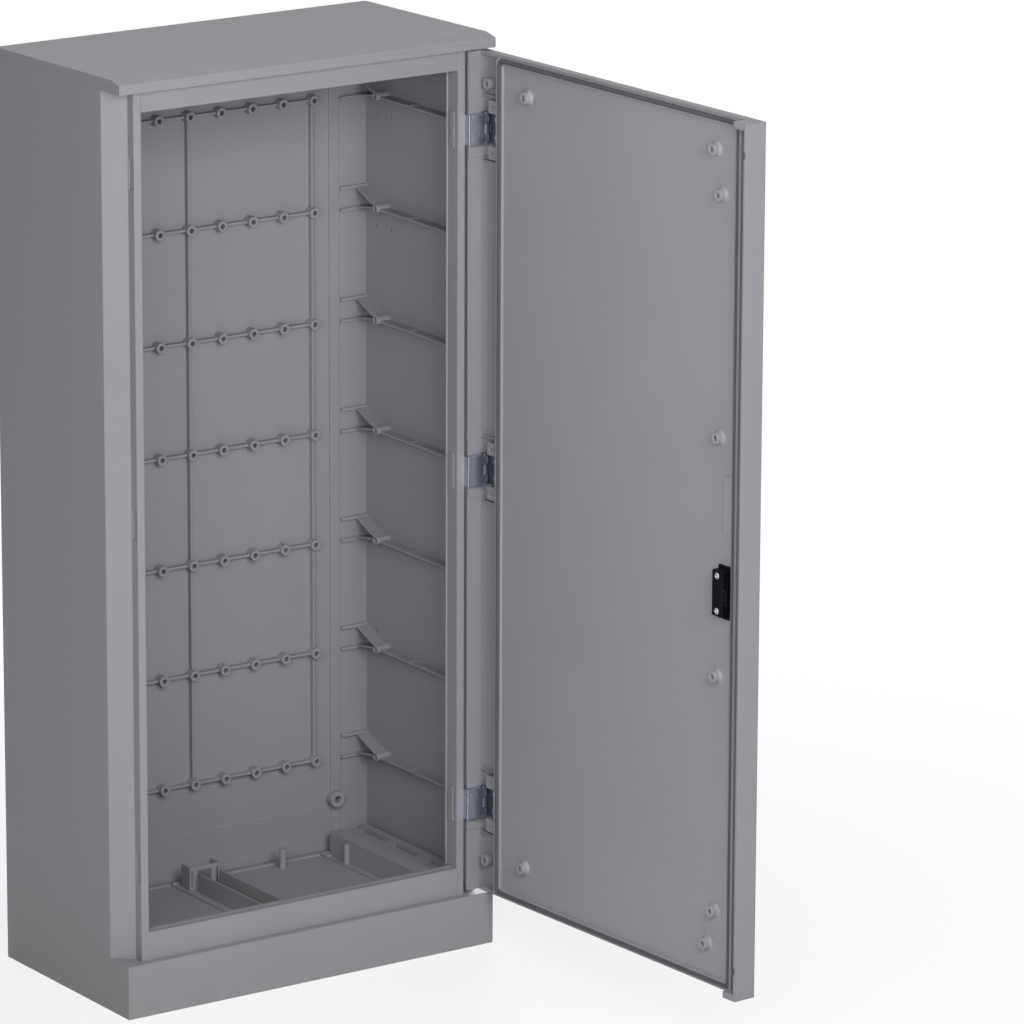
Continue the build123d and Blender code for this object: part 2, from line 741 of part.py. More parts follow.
# Gasket: one closed ring on its seat, just clear of the posts and bars when the door is shut
gasket_front = door_face + seat_depth
gasket_rear = post_front - gasket_gap
gasket = block(seat_left + gasket_side_gap, seat_right - gasket_side_gap, gasket_front, gasket_rear,
               seat_bottom + gasket_side_gap, seat_top - gasket_side_gap)
gasket -= block(liner_left - gasket_side_gap, liner_right + gasket_side_gap, gasket_front, gasket_rear,
                liner_bottom - gasket_side_gap, liner_top + gasket_side_gap)

# Blank label plate on the liner
label_plate = block(liner_left + label_inset, liner_left + label_inset + label_width, liner_face,
                    liner_face + label_thickness, label_level - label_height * half_share,
                    label_level + label_height * half_share)

# Hinges: a cranked leaf on the post, a flat leaf on the door and a pin through both
frame_leaves = []
door_leaves = []
door_leaf_screws = []
hinge_pins = []
backing_plates = []
knuckle_height = (hinge_height - knuckle_gap - knuckle_gap) / knuckle_count
leaf_front = pivot_y - knuckle_radius + leaf_sink
swing_radius = knuckle_radius + leaf_swing_gap
leaf_rear = front_y + right_return_setback - leaf_rear_gap
bore_radius = pin_radius + pin_clearance
door_leaf_screw_x = pivot_x + door_leaf_beyond - door_leaf_width + door_leaf_screw_inset
for level in hinge_levels:
    low = level - half_hinge
    high = level + half_hinge
    middle_low = low + knuckle_height + knuckle_gap
    middle_high = high - knuckle_height - knuckle_gap
    leaf = block(right_post_outer, leaf_outer, leaf_front, leaf_rear, low, high)
    leaf += block(right_post_outer, pivot_x, leaf_front, leaf_front + leaf_thickness, low, high)
    leaf += rod_z(pivot_x, pivot_y, low, high, knuckle_radius)
    leaf -= rod_z(pivot_x, pivot_y, middle_low - knuckle_gap, middle_high + knuckle_gap, swing_radius)
    leaf -= block(pivot_x - swing_radius, pivot_x, leaf_front, pivot_y, middle_low - knuckle_gap,
                  middle_high + knuckle_gap)
    leaf -= rod_z(pivot_x, pivot_y, low, high, bore_radius)
    frame_leaves.append(leaf - leaf_holes)
    plate = block(pivot_x + door_leaf_beyond - door_leaf_width, pivot_x + door_leaf_beyond, skin_inner,
                  skin_inner + door_leaf_thickness, low, high)
    plate += block(pivot_x - door_leaf_thickness, pivot_x + door_leaf_thickness, skin_inner, pivot_y,
                   middle_low, middle_high)
    plate += rod_z(pivot_x, pivot_y, middle_low, middle_high, knuckle_radius)
    plate -= rod_z(pivot_x, pivot_y, low, high, bore_radius)
    for rise in (-leaf_screw_rise, leaf_screw_rise):
        z = level + rise
        seat_y = skin_inner + door_leaf_thickness
        hole = rod_y(door_leaf_screw_x, skin_sink, seat_y, z, screw_hole_radius)
        plate -= hole
        shell_holes.append(hole)
        door_leaf_screws.append(screw_along_y(door_leaf_screw_x, seat_y, z, -1, seat_y - skin_sink,
                                              flat_head_height))
    door_leaves.append(plate)
    pin = rod_z(pivot_x, pivot_y, low, high + pin_head_height, pin_radius)
    pin += rod_z(pivot_x, pivot_y, high, high + pin_head_height, pin_head_radius)
    hinge_pins.append(pin)
    backing_plates.append(block(right_post_inner - backing_thickness, right_post_inner,
                                post_front + backing_setback, post_front + backing_setback + backing_width,
                                level - backing_height * half_share, level + backing_height * half_share))

# Lock case over the cam, with a slot towards the free edge
case_rear = liner_face + case_depth
half_case = case_height * half_share
case_level = lock_level - case_drop
lock_case = block(lock_x - case_free_side, lock_x + case_hinge_side, liner_face, case_rear,
                  case_level - half_case, case_level + half_case)
case_edges = [edge for edge in lock_case.edges() if edge.center().Y > case_rear - case_edge_radius]
lock_case = fillet(case_edges, case_edge_radius)
half_base = case_base_height * half_share
lock_case += block(lock_x - case_free_side, lock_x + case_hinge_side, liner_face,
                   liner_face + case_base_thickness, case_level - half_base, case_level + half_base)
lock_case -= block(lock_x - case_free_side + case_wall, lock_x + cam_room_side, liner_face,
                   case_rear - case_wall, lock_level - cam_room_below, lock_level + cam_room_above)
lock_case -= block(lock_x - case_free_side, lock_x, strike_front, strike_rear,
                   lock_level - cam_room_below, lock_level + cam_room_above)
case_screws = []
case_screw_x = lock_x + case_screw_offset
for z in (case_level - case_screw_rise, case_level + case_screw_rise):
    case_screws.append(screw_along_y(case_screw_x, case_rear, z, -1, case_rear - liner_sink,
                                     flat_head_height))
    lock_case -= rod_y(case_screw_x, liner_face, case_rear, z, screw_hole_radius)
    liner_holes.append(rod_y(case_screw_x, liner_sink, liner_face, z, screw_hole_radius))

# Outside plate with its bush, key cylinder and screws
plate_front = door_face - plate_thickness
half_plate = plate_width * half_share
handle_plate = block(lock_x - half_plate, lock_x + half_plate, plate_front, door_face,
                     lock_level - plate_below, lock_level + plate_above)
handle_plate = fillet(handle_plate.edges().filter_by(Axis.Y), plate_edge_radius)
bush_front = plate_front - bush_length
bush_bore_radius = spindle_radius + spindle_clearance
handle_plate += rod_y(lock_x, bush_front, plate_front, lock_level, bush_radius)
handle_plate -= rod_y(lock_x, bush_front, door_face, lock_level, bush_bore_radius)
handle_plate -= rod_y(lock_x, plate_front, door_face, cylinder_level, cylinder_hole_radius)
key_face = door_face - cylinder_front
key_cylinder = rod_y(lock_x, key_face, key_face + cylinder_length, cylinder_level, cylinder_radius)
half_key_width = key_slot_width * half_share
half_key_height = key_slot_height * half_share
key_cylinder -= block(lock_x - half_key_width, lock_x + half_key_width, key_face, key_face + key_slot_depth,
                      cylinder_level - half_key_height, cylinder_level + half_key_height)
plate_screws = []
for z in (lock_level + plate_screw_above, lock_level - plate_screw_below):
    plate_screws.append(screw_along_y(lock_x, plate_front, z, 1, plate_thickness + door_skin * half_share,
                                      screw_head_height))
    hole = rod_y(lock_x, plate_front, skin_sink, z, screw_hole_radius)
    handle_plate -= hole
    shell_holes.append(hole)

# Handle with spindle; the cam hangs down at rest and points to the post when locked
hub_rear = bush_front - hub_gap
hub_front = hub_rear - hub_length
lever = rod_y(lock_x, hub_front, hub_rear, lock_level, hub_radius)
arm = block(lock_x, lock_x + lever_length, hub_front, hub_front + lever_thickness,
            lock_level - lever_width * half_share, lock_level + lever_width * half_share)
arm_edges = [edge for edge in arm.edges() if edge.center().X > lock_x + lever_width]
arm = fillet(arm_edges, lever_edge_radius)
lever += arm
cam_front = liner_face + cam_front_gap
cam_rear = cam_front + cam_thickness
spindle = rod_y(lock_x, hub_rear, cam_rear, lock_level, spindle_radius)
spindle -= rod_y(lock_x, cam_rear - cam_screw_length - cam_thickness, cam_rear, lock_level,
                 cam_screw_radius + screw_clearance)
half_cam = cam_width * half_share
latch_cam = rod_y(lock_x, cam_front, cam_rear, lock_level, cam_hub_radius)
latch_cam += block(lock_x - half_cam, lock_x + half_cam, cam_front, cam_rear,
                   lock_level - cam_length, lock_level)
latch_cam -= rod_y(lock_x, cam_front, cam_rear, lock_level, bush_bore_radius)
cam_screw = rod_y(lock_x, cam_rear, cam_rear + cam_screw_head_height, lock_level, cam_screw_head_radius)
cam_screw += rod_y(lock_x, cam_rear - cam_screw_length, cam_rear, lock_level, cam_screw_radius)

shell += shell_parts
shell -= shell_holes
liner += liner_parts
liner -= liner_holes

nodes = {
    "side_wall_left": side_wall_left,
    "side_wall_right": side_wall_right,
    "rear_wall": rear_wall,
    "roof": roof,
    "plinth_front": plinth_front,
    "anchor_ring": anchor_ring,
    "post_left": post_left,
    "post_right": post_right,
    "top_bar": top_bar,
    "bottom_bar": bottom_bar,
    "floor_bearers": Compound(children=floor_bearers),
    "floor_plate_left": floor_left,
    "floor_plate_middle": floor_middle,
    "floor_plate_right": floor_right,
    "cable_channel": cable_channel,
    "channel_end_bracket": end_bracket,
    "floor_post": floor_post,
    "side_rail_left": mirror(side_rail, about=Plane.YZ),
    "side_rail_right": side_rail,
    "roof_screws": Compound(children=roof_screws),
    "rear_wall_screws": Compound(children=rear_screws),
    "hinge_frame_leaves": Compound(children=frame_leaves),
    "hinge_frame_screws": Compound(children=leaf_screws),
    "hinge_backing_plates": Compound(children=backing_plates),
}
door_nodes = {
    "door_shell": shell,
    "door_liner": liner,
    "door_gasket": gasket,
    "label_plate": label_plate,
    "hinge_door_leaves": Compound(children=door_leaves),
    "hinge_door_screws": Compound(children=door_leaf_screws),
    "hinge_pins": Compound(children=hinge_pins),
    "lock_case": lock_case,
    "lock_case_screws": Compound(children=case_screws),
    "handle_plate": handle_plate,
    "handle_plate_screws": Compound(children=plate_screws),
    "key_cylinder": key_cylinder,
    "handle_lever": lever,
    "handle_spindle": spindle,
    "latch_cam": latch_cam,
    "cam_screw": cam_screw,
}
for name, shape in door_nodes.items():
    nodes[name] = swing(shape)

os.makedirs("parts", exist_ok=True)
for name, shape in nodes.items():
    export_step(shape, "parts/" + name + ".step")
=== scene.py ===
import json
from math import cos, pi, radians
import bmesh
import bpy
from mathutils import Matrix, Vector


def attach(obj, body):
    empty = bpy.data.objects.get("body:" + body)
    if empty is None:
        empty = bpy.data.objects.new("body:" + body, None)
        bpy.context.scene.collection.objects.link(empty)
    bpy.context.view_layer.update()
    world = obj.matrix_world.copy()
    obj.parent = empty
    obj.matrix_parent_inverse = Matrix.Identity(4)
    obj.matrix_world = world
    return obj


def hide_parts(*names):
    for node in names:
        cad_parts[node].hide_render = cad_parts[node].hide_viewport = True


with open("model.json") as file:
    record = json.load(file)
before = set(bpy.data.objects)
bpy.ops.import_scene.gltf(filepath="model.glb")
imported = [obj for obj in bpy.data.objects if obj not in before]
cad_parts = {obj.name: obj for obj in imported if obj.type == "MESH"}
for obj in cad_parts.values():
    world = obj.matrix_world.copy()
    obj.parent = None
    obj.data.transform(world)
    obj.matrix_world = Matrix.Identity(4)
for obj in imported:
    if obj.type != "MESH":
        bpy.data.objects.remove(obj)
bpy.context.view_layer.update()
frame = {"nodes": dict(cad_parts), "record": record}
scene = bpy.context.scene
nodes = frame["nodes"]
print("frame loaded:", len(nodes), "nodes")


def shade(red, green, blue):  # screen colour 0 to 255 as linear light
    def one(value):
        value = value / 255
        return value / 12.92 if value <= 0.04045 else ((value + 0.055) / 1.055) ** 2.4
    return (one(red), one(green), one(blue), 1.0)


def scaled(colour, share):  # the same colour, darker or lighter
    return tuple(min(1.0, part * share) for part in colour[:3]) + (1.0,)


class Wire:  # one shader socket with plain maths on it
    def __init__(self, tree, socket=None):
        self.tree = tree
        self.socket = socket

    def node(self, kind, settings, inputs, out=0):
        made = self.tree.nodes.new("ShaderNode" + kind)
        for name, value in settings.items():
            setattr(made, name, value)
        for name, value in inputs.items():
            if isinstance(value, Wire):
                self.tree.links.new(value.socket, made.inputs[name])
            else:
                made.inputs[name].default_value = value
        return Wire(self.tree, made.outputs[out])

    def calc(self, operation, first, second):
        return self.node("Math", {"operation": operation}, {0: first, 1: second})

    def __add__(self, other):
        return self.calc("ADD", self, other)

    def __radd__(self, other):
        return self.calc("ADD", other, self)

    def __sub__(self, other):
        return self.calc("SUBTRACT", self, other)

    def __rsub__(self, other):
        return self.calc("SUBTRACT", other, self)

    def __mul__(self, other):
        return self.calc("MULTIPLY", self, other)

    def __rmul__(self, other):
        return self.calc("MULTIPLY", other, self)

    def between(self, low, high):  # 0 at low, 1 at high, held outside
        return self.node("MapRange", {"clamp": True},
                         {"Value": self, "From Min": low, "From Max": high})

    def noise(self, scale, detail=2.0, rough=0.5):
        return self.node("TexNoise", {},
                         {"Vector": self, "Scale": scale, "Detail": detail, "Roughness": rough})

    def blend(self, first, second):  # colours mixed by this value
        return self.node("Mix", {"data_type": "RGBA"}, {0: self, 6: first, 7: second}, out=2)

    def relief(self, strength, depth, soft):  # this height as a fine bump on the softened edges
        return self.node("Bump", {},
                         {"Strength": strength, "Distance": depth, "Height": self, "Normal": soft})


def newMaterial(name):
    material = bpy.data.materials.new(name)
    material.use_nodes = True
    tree = material.node_tree
    shader = tree.nodes["Principled BSDF"]
    return material, shader, Wire(tree).node("TexCoord", {}, {}, out="Object")


def plug(shader, name, wire):
    wire.tree.links.new(wire.socket, shader.inputs[name])


edgeTurn = 0.12  # how far a normal has turned where an edge counts in full: worn on plastic and coats, painted highlight on plated steel


def roundedNormal(place, radius):  # softened edges, and how much each spot is an edge
    soft = place.node("Bevel", {"samples": 6}, {"Radius": radius})
    flat = place.node("NewGeometry", {}, {}, out="Normal")
    facing = place.node("VectorMath", {"operation": "DOT_PRODUCT"}, {0: soft, 1: flat}, out="Value")
    return soft, (1 - facing).between(0.0, edgeTurn)


moulded = {"edgeRadius": 0.0016, "edgeWear": 0.2, "toneSpread": 0.035,
           "cloudScale": 5.5, "cloudShare": 0.55, "fleckScale": 240.0, "fleckShare": 0.45,
           "grainScale": 620.0, "grainStrength": 0.3, "grainDepth": 0.00006,
           "lowDarkFrom": 0.06, "lowDarkTo": 0.26, "lowDarkShare": 0.35,  # darker towards the bottom
           "lowDarkScale": 9.0, "lowDarkRagged": 0.16,
           "leastRoughness": 0.44, "roughGrain": 0.1, "roughCloud": 0.06, "shine": 0.35}


def mouldedPlastic(name, colour, worn, lowColour):
    material, shader, place = newMaterial(name)
    look = moulded
    soft, edge = roundedNormal(place, look["edgeRadius"])
    grain = place.noise(look["grainScale"], 3.0, 0.6)
    cloud = place.noise(look["cloudScale"], 3.0, 0.55).between(0.3, 0.7)
    fleck = place.noise(look["fleckScale"], 2.0, 0.7).between(0.35, 0.75)
    height = place.node("SeparateXYZ", {}, {"Vector": place}, out="Z")
    ragged = height + place.noise(look["lowDarkScale"], 4.0) * look["lowDarkRagged"]
    # darker towards the bottom, fading out between the two heights with a ragged top
    lowDark = (1 - ragged.between(look["lowDarkFrom"], look["lowDarkTo"])) * look["lowDarkShare"]
    tone = cloud * look["cloudShare"] + fleck * look["fleckShare"]
    base = tone.blend(scaled(colour, 1 - look["toneSpread"]), scaled(colour, 1 + look["toneSpread"]))
    base = (edge * look["edgeWear"]).blend(base, worn)
    plug(shader, "Base Color", lowDark.blend(base, lowColour))
    rough = grain * look["roughGrain"] + cloud * look["roughCloud"] + look["leastRoughness"]
    plug(shader, "Roughness", rough)
    plug(shader, "Normal", grain.relief(look["grainStrength"], look["grainDepth"], soft))
    shader.inputs["Specular IOR Level"].default_value = look["shine"]
    return material


# the two edge settings of plated steel paint a highlight onto every edge
plated = {"edgeRadius": 0.0008, "edgeHighlightShare": 0.5, "edgeHighlightLift": 1.25,
          "brushScale": 380.0, "brushDraw": (1.0, 1.0, 0.06), "brushShare": 0.8,  # drawn out upwards
          "brushStrength": 0.05, "brushDepth": 0.00003, "spangleScale": 120.0, "spangleShare": 0.2,
          "roughBrush": 0.08, "roughSpangle": 0.02}


def platedSteel(name, colour, dull, leastRoughness, metallic):
    material, shader, place = newMaterial(name)
    look = plated
    soft, edge = roundedNormal(place, look["edgeRadius"])
    drawn = place.node("Mapping", {}, {"Vector": place, "Scale": look["brushDraw"]})
    brush = drawn.noise(look["brushScale"], 3.0, 0.6)
    cells = place.node("TexVoronoi", {}, {"Vector": place, "Scale": look["spangleScale"]}, out="Color")
    spangle = place.node("SeparateColor", {}, {"Color": cells})
    tone = brush * look["brushShare"] + spangle * look["spangleShare"]
    base = tone.blend(dull, colour)
    # painted highlight: every edge is lightened towards a brighter copy of the plate's colour
    plug(shader, "Base Color", (edge * look["edgeHighlightShare"]).blend(base, scaled(colour, look["edgeHighlightLift"])))
    rough = brush * look["roughBrush"] + spangle * look["roughSpangle"] + leastRoughness
    plug(shader, "Roughness", rough)
    plug(shader, "Normal", brush.relief(look["brushStrength"], look["brushDepth"], soft))
    shader.inputs["Metallic"].default_value = metallic
    return material


coated = {"edgeRadius": 0.0012, "edgeWear": 0.4, "cloudScale": 22.0, "cloudLift": 1.3,
          "grainScale": 900.0, "grainStrength": 0.35, "roughGrain": 0.12, "roughCloud": 0.08}


def darkCoat(name, colour, worn, leastRoughness, depth=0.00005, shine=0.4):
    material, shader, place = newMaterial(name)
    look = coated
    soft, edge = roundedNormal(place, look["edgeRadius"])
    grain = place.noise(look["grainScale"], 2.0, 0.6)
    cloud = place.noise(look["cloudScale"], 3.0).between(0.3, 0.7)
    base = cloud.blend(colour, scaled(colour, look["cloudLift"]))
    plug(shader, "Base Color", (edge * look["edgeWear"]).blend(base, worn))
    plug(shader, "Roughness", grain * look["roughGrain"] + cloud * look["roughCloud"] + leastRoughness)
    plug(shader, "Normal", grain.relief(look["grainStrength"], depth, soft))
    shader.inputs["Specular IOR Level"].default_value = shine
    return material


finishes = {
    "shell": mouldedPlastic("greyShell", shade(139, 139, 144), shade(160, 160, 164), shade(126, 124, 122)),
    # painted light: the liner is the shell's grey made lighter, for the light the door's inner face catches
    "liner": mouldedPlastic("greyLinerPaintedLight", shade(148, 148, 153), shade(166, 166, 170), shade(130, 128, 126)),
    "door": mouldedPlastic("greyDoor", shade(139, 139, 144), shade(160, 160, 164), shade(128, 126, 124)),
    "zinc": platedSteel("zincPlate", shade(198, 204, 214), shade(178, 185, 196), 0.21, 1.0),
    # painted shade: a darker copy of the zinc plate for the door's hinge leaves and pins, dimming their
    # reflections
    "shadedZinc": platedSteel("shadedZincPlate", shade(96, 102, 112), shade(82, 87, 96), 0.45, 0.7),
    "black": darkCoat("blackCase", shade(7, 7, 8), shade(20, 20, 22), 0.4, shine=0.12),
    # the seal's own rubber grey, made darker still as painted shade of the groove it sits in
    "seal": darkCoat("sealRubberPaintedShade", shade(80, 80, 84), shade(92, 92, 96), 0.7, 0.0001, 0.2),
    "label": mouldedPlastic("bareLabel", shade(150, 150, 155), shade(170, 170, 174), shade(130, 128, 126)),
    "dark": darkCoat("darkMetal", shade(46, 47, 50), shade(92, 92, 95), 0.35),
    "nickel": platedSteel("nickelPlate", shade(214, 213, 210), shade(184, 183, 180), 0.25, 0.9),
}
slotFinish = {"grey_shell": "shell", "grey_door": "door", "zinc_steel": "zinc", "black_plastic": "black",
              "seal_rubber": "seal", "label_blank": "label", "dark_metal": "dark", "plated_brass": "nickel"}
# where a node differs from its slot: painted shade on the door's hinge leaves and pins, painted light on
# the door liner
nodeFinish = {"hinge_door_leaves": "shadedZinc", "hinge_pins": "shadedZinc", "door_liner": "liner"}
for entry in frame["record"]["subparts"]:
    mesh = nodes[entry["node"]].data
    mesh.materials.clear()
    mesh.materials.append(finishes[nodeFinish.get(entry["node"], slotFinish[entry["material_slot"]])])
print("finishes set:", len(finishes))

doorSwing = {"pivotX": 0.281, "pivotY": -0.157, "angle": 93.0}  # drawn shut, shown open as in the photo
pivot = Vector((doorSwing["pivotX"], doorSwing["pivotY"], 0))
swingTurn = Matrix.Rotation(radians(doorSwing["angle"]), 4, "Z")
swingOut = Matrix.Translation(pivot) @ swingTurn @ Matrix.Translation(-pivot)

hair = 0.00001  # nearer than this counts as the same place
weldGap = 0.000005  # vertices nearer than this are joined
sharpTurn = 1.0  # radians between two faces at a real edge


def makePiece(name, shape, finish, body, replaced, smoothAngle=38.0):
    bmesh.ops.remove_doubles(shape, verts=shape.verts, dist=weldGap)
    bmesh.ops.recalc_face_normals(shape, faces=shape.faces)
    if body != "cabinet":
        bmesh.ops.transform(shape, matrix=swingOut, verts=shape.verts)
    mesh = bpy.data.meshes.new(name)
    shape.to_mesh(mesh)
    shape.free()
    mesh.polygons.foreach_set("use_smooth", [True] * len(mesh.polygons))
    mesh.set_sharp_from_angle(angle=radians(smoothAngle))
    mesh.materials.append(finishes[finish])
    piece = bpy.data.objects.new(name, mesh)
    scene.collection.objects.link(piece)
    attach(piece, body)
    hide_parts(replaced)
    print("made", name)


def onlyVerts(parts):
    return [part for part in parts if isinstance(part, bmesh.types.BMVert)]


def everything(shape):
    return shape.verts[:] + shape.edges[:] + shape.faces[:]


def rounded(shape, parts, radius, steps, affect="EDGES"):
    bmesh.ops.bevel(shape, geom=parts, offset=radius, segments=steps, profile=0.5, affect=affect,
                    material=-1)


def pulled(shape, faces, shift):  # a slab grown from flat faces, gives its far vertices
    far = onlyVerts(bmesh.ops.extrude_face_region(shape, geom=faces, use_keep_orig=True)["geom"])
    bmesh.ops.translate(shape, vec=shift, verts=far)
    bmesh.ops.recalc_face_normals(shape, faces=shape.faces)
    return far


def turned(shape, profile, steps):  # a lathe part about Z from points of radius and height
    before = set(shape.verts)
    verts = [shape.verts.new((radius, 0, height)) for radius, height in profile]
    edges = [shape.edges.new(pair) for pair in zip(verts, verts[1:])]
    bmesh.ops.spin(shape, geom=verts + edges, cent=(0, 0, 0), axis=(0, 0, 1), angle=2 * pi, steps=steps,
                   use_merge=True)
    return [vert for vert in shape.verts if vert not in before]


aim = {"+X": Matrix.Rotation(radians(90), 4, "Y"), "+Y": Matrix.Rotation(radians(-90), 4, "X"),
       "-Y": Matrix.Rotation(radians(90), 4, "X")}  # which way the lathe's Z points

sealSizes = {"left": -0.2627, "right": 0.2472, "low": 0.0833, "high": 1.2547, "front": -0.159,
             "width": 0.0044, "height": 0.0087, "corner": 0.007, "cornerSteps": 6,
             "crown": 0.0018, "crownSteps": 4, "smoothAngle": 60.0}


def doorSeal():
    size = sealSizes
    shape = bmesh.new()
    for x, z in (("left", "low"), ("right", "low"), ("right", "high"), ("left", "high")):
        shape.verts.new((size[x], size["front"], size[z]))
    bmesh.ops.contextual_create(shape, geom=shape.verts)
    rounded(shape, shape.verts[:], size["corner"], size["cornerSteps"], "VERTICES")
    ring = bmesh.ops.inset_region(shape, faces=shape.faces[:], thickness=size["width"],
                                  use_boundary=True, use_even_offset=True)["faces"]
    inside = [face for face in shape.faces if face not in ring]
    bmesh.ops.delete(shape, geom=inside, context="FACES_ONLY")
    raised = pulled(shape, ring, (0, size["height"], 0))
    crown = [edge for edge in shape.edges if all(vert in raised for vert in edge.verts)
             and edge.calc_face_angle(0) > sharpTurn]
    rounded(shape, crown, size["crown"], size["crownSteps"])
    makePiece("doorSeal", shape, "seal", "door", "door_gasket", size["smoothAngle"])


leafSizes = {"levels": (0.206, 0.680, 1.154), "height": 0.042, "postSide": 0.2525, "front": -0.1625,
             "rear": -0.129, "thick": 0.003, "frontThick": 0.0034,
             "bend": 0.0052, "innerBend": 0.002, "bendSteps": 8,
             "barrel": 0.0055, "bore": 0.00255, "barrelSteps": 40, "edge": 0.0005,
             "slotX": 0.2747, "gap": 0.0006}


def crankedLeaves():
    size = leafSizes
    shape = bmesh.new()
    pinX, pinY, slotX = doorSwing["pivotX"], doorSwing["pivotY"], size["slotX"]
    outX, inY = size["postSide"] + size["thick"], size["front"] + size["frontThick"]
    outline = [(size["postSide"], size["rear"]), (size["postSide"], size["front"]), (pinX, size["front"]),
               (pinX, inY), (outX, inY), (outX, size["rear"])]
    start = [shape.verts.new((x, y, 0)) for x, y in outline]
    foot = bmesh.ops.contextual_create(shape, geom=start)["faces"]
    pulled(shape, foot, (0, 0, size["height"]))
    for x, y, bend in ((size["postSide"], size["front"], "bend"), (outX, inY, "innerBend")):
        upright = [edge for edge in shape.edges
                   if all(abs(end.co.x - x) < hair and abs(end.co.y - y) < hair for end in edge.verts)]
        rounded(shape, upright, size[bend], size["bendSteps"])
    third = (size["height"] - 2 * size["gap"]) / 3
    slotLow, slotHigh = third, size["height"] - third  # the door's own barrel turns in this slot
    for spot, normal in (((0, 0, slotLow), (0, 0, 1)), ((0, 0, slotHigh), (0, 0, 1)),
                         ((slotX, 0, 0), (1, 0, 0))):
        bmesh.ops.bisect_plane(shape, geom=everything(shape), plane_co=spot, plane_no=normal)
    cut = [face for face in shape.faces if face.calc_center_median().x > slotX + hair
           and slotLow < face.calc_center_median().z < slotHigh]
    bmesh.ops.delete(shape, geom=cut, context="FACES")
    for axis, value in (("x", slotX), ("z", slotLow), ("z", slotHigh)):  # close the slot's three walls
        wall = [vert for vert in shape.verts
                if abs(getattr(vert.co, axis) - value) < hair and vert.co.x > slotX - hair
                and slotLow - hair < vert.co.z < slotHigh + hair]
        bmesh.ops.contextual_create(shape, geom=wall)
    barrel, bore, edge = size["barrel"], size["bore"], size["edge"]
    profile = [(bore, 0), (barrel - edge, 0), (barrel, edge), (barrel, third - edge),
               (barrel - edge, third), (bore, third), (bore, 0)]
    for low in (0, slotHigh):  # rolled ends that hold the pin
        ring = turned(shape, profile, size["barrelSteps"])
        bmesh.ops.translate(shape, vec=(pinX, pinY, low), verts=ring)
    pattern = everything(shape)
    patternVerts = shape.verts[:]
    for level in size["levels"]:
        leaf = onlyVerts(bmesh.ops.duplicate(shape, geom=pattern)["geom"])
        bmesh.ops.translate(shape, vec=(0, 0, level - size["height"] / 2), verts=leaf)
    bmesh.ops.delete(shape, geom=patternVerts, context="VERTS")
    makePiece("crankedLeaves", shape, "zinc", "cabinet", "hinge_frame_leaves")


screwSizes = {"head": 0.0045, "shank": 0.0025, "socket": 0.0019, "steps": 24,
              "socketFloor": 0.35, "socketRim": 0.98,  # shares of the head's rise
              "dome": ((0.72, 0.92), (0.92, 0.7), (1.0, 0.4), (1.0, 0.0))}  # shares of radius and rise


def addScrew(shape, place, way, rise, length):  # domed head with a hexagon socket
    head, shank, socket = screwSizes["head"], screwSizes["shank"], screwSizes["socket"]
    bottom, rim = rise * screwSizes["socketFloor"], rise * screwSizes["socketRim"]
    dome = [(head * out, rise * up) for out, up in screwSizes["dome"]]
    profile = [(0, bottom), (socket, bottom), (socket, rim)] + dome
    profile += [(shank, 0), (shank, -length), (0, -length)]
    verts = turned(shape, profile, screwSizes["steps"])
    for vert in verts:  # pull the socket's ring to six flats
        if 0 < vert.co.xy.length < socket + hair:
            angle = vert.co.xy.angle_signed(Vector((1, 0))) % (pi / 3) - pi / 6
            vert.co.xy *= cos(pi / 6) / cos(angle)
    bmesh.ops.transform(shape, matrix=Matrix.Translation(place) @ aim[way], verts=verts)


def screwSet(name, places, way, fit, finish, body, replaced):
    shape = bmesh.new()
    for place in places:
        addScrew(shape, place, way, fit["rise"], fit["length"])
    makePiece(name, shape, finish, body, replaced)


caseScrews = {"x": -0.24, "seat": -0.142, "levels": (0.601, 0.649), "rise": 0.0007, "length": 0.0155}
plateScrews = {"x": -0.2425, "seat": -0.175, "levels": (0.698, 0.608), "rise": 0.002, "length": 0.0065}
rearScrews = {"x": 0.264, "seat": 0.158, "low": 0.13, "pitch": 0.2575, "count": 5,
              "rise": 0.002, "length": 0.005}
postHingeScrews = {"x": 0.2555, "y": -0.138, "offset": 0.012, "rise": 0.002, "length": 0.009}
doorHingeScrews = {"x": 0.265, "y": -0.1635, "offset": 0.012, "rise": 0.0007, "length": 0.005}


def hingePlaces(fit):  # two screws on each leaf
    return [(fit["x"], fit["y"], level + rise) for level in leafSizes["levels"]
            for rise in (-fit["offset"], fit["offset"])]


def makeScrews():
    places = [(caseScrews["x"], caseScrews["seat"], z) for z in caseScrews["levels"]]
    screwSet("caseScrews", places, "+Y", caseScrews, "nickel", "door", "lock_case_screws")
    places = [(plateScrews["x"], plateScrews["seat"], z) for z in plateScrews["levels"]]
    screwSet("plateScrews", places, "-Y", plateScrews, "dark", "door", "handle_plate_screws")
    places = [(side * rearScrews["x"], rearScrews["seat"], rearScrews["low"] + step * rearScrews["pitch"])
              for side in (-1, 1) for step in range(rearScrews["count"])]
    screwSet("rearScrews", places, "+Y", rearScrews, "zinc", "cabinet", "rear_wall_screws")
    screwSet("postHingeScrews", hingePlaces(postHingeScrews), "+X", postHingeScrews, "zinc", "cabinet",
             "hinge_frame_screws")
    screwSet("doorHingeScrews", hingePlaces(doorHingeScrews), "+Y", doorHingeScrews, "zinc", "door",
             "hinge_door_screws")


leverSizes = {"x": -0.2425, "level": 0.628, "hub": 0.01, "hubRear": -0.1803, "hubLength": 0.013,
              "hubDome": ((0.0, 1.0), (0.6, 1.0), (0.9, 0.93), (1.0, 0.8)),  # shares of radius and length
              "hubFoot": 0.94, "hubChamfer": 0.0008, "hubSteps": 48,
              "reach": 0.112, "width": 0.016, "thick": 0.008, "tipShare": 0.72, "armCuts": 9,
              "bow": 0.0016, "rearBow": 0.2, "round": 0.0026, "roundSteps": 4, "smoothAngle": 50.0}


